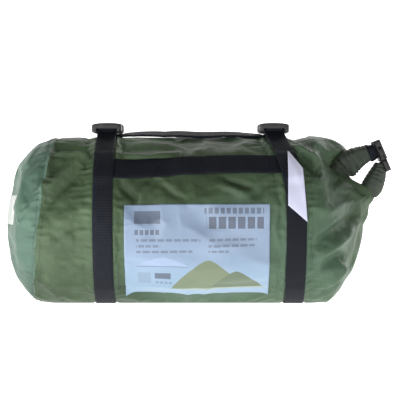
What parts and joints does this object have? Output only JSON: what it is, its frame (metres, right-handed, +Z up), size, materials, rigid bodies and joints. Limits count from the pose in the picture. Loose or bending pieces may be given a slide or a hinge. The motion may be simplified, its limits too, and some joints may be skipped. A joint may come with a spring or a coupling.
{
  "type": "bicycle roll bag",
  "caption": "Stuffed cylindrical roll-top bag with compression straps, side-release buckles, a top handle and a front carry strap.",
  "frame": {"origin": "middle of the flat on the underside that the bag rests on", "axes": "+X along the bag from the sewn end to the rolled mouth, +Y from the labelled front to the back, +Z up"},
  "size_m": [0.3987, 0.179, 0.1867],
  "materials": {
    "cloth": "coated polyester with a soft sheen",
    "webbing": "ribbed polypropylene webbing",
    "buckle": "moulded acetal, faintly grained",
    "label": "printed card under a clear film",
    "tag": "woven satin tape",
    "contents": "folded cloth"
  },
  "bodies": {
    "bag": {"body_panel": "cloth", "base_panel": "cloth", "end_cap": "cloth", "mouth_collar": "cloth", "rolled_mouth": "cloth", "packed_roll": "contents", "label_card": "label", "strap_tag": "tag", "front_strap": "webbing", "top_handle": "webbing", "left_strap": "webbing", "left_rear_webbing": "webbing", "left_buckle_socket": "buckle", "right_strap": "webbing", "right_rear_webbing": "webbing", "right_buckle_socket": "buckle", "closure_socket_tab": "webbing", "closure_buckle_socket": "buckle"},
    "left_plug": {"left_buckle_plug": "buckle", "left_front_webbing": "webbing"},
    "left_button_left": {"left_buckle_button_left": "buckle"},
    "left_button_right": {"left_buckle_button_right": "buckle"},
    "right_plug": {"right_buckle_plug": "buckle", "right_front_webbing": "webbing"},
    "right_button_left": {"right_buckle_button_left": "buckle"},
    "right_button_right": {"right_buckle_button_right": "buckle"},
    "closure_plug": {"closure_buckle_plug": "buckle", "closure_plug_tab": "webbing"},
    "closure_button_front": {"closure_buckle_button_front": "buckle"},
    "closure_button_back": {"closure_buckle_button_back": "buckle"}
  },
  "joints": [
    {"name": "left_release", "type": "slide", "parent": "bag", "child": "left_plug", "axis": [0, -1, 0], "range_m": [0, 0.022]},
    {"name": "left_squeeze_left", "type": "hinge", "parent": "left_plug", "child": "left_button_left", "pos_m": [-0.1093, -0.0072, 0.182], "axis": [0, 0, -1], "range_deg": [0, 9], "stiffness_Nm_per_rad": 0.5},
    {"name": "left_squeeze_right", "type": "hinge", "parent": "left_plug", "child": "left_button_right", "pos_m": [-0.0847, -0.0072, 0.182], "axis": [0, 0, 1], "range_deg": [0, 9], "stiffness_Nm_per_rad": 0.5},
    {"name": "right_release", "type": "slide", "parent": "bag", "child": "right_plug", "axis": [0, -1, 0], "range_m": [0, 0.022]},
    {"name": "right_squeeze_left", "type": "hinge", "parent": "right_plug", "child": "right_button_left", "pos_m": [0.0647, -0.0072, 0.182], "axis": [0, 0, -1], "range_deg": [0, 9], "stiffness_Nm_per_rad": 0.5},
    {"name": "right_squeeze_right", "type": "hinge", "parent": "right_plug", "child": "right_button_right", "pos_m": [0.0893, -0.0072, 0.182], "axis": [0, 0, 1], "range_deg": [0, 9], "stiffness_Nm_per_rad": 0.5},
    {"name": "closure_release", "type": "slide", "parent": "bag", "child": "closure_plug", "axis": [0.3907, 0, -0.9205], "range_m": [0, 0.0176]},
    {"name": "closure_squeeze_front", "type": "hinge", "parent": "closure_plug", "child": "closure_button_front", "pos_m": [0.19279, -0.00984, 0.14758], "axis": [-0.9205, 0, -0.3907], "range_deg": [0, 9], "stiffness_Nm_per_rad": 0.3},
    {"name": "closure_squeeze_back", "type": "hinge", "parent": "closure_plug", "child": "closure_button_back", "pos_m": [0.19279, 0.00984, 0.14758], "axis": [0.9205, 0, 0.3907], "range_deg": [0, 9], "stiffness_Nm_per_rad": 0.3}
  ]
}
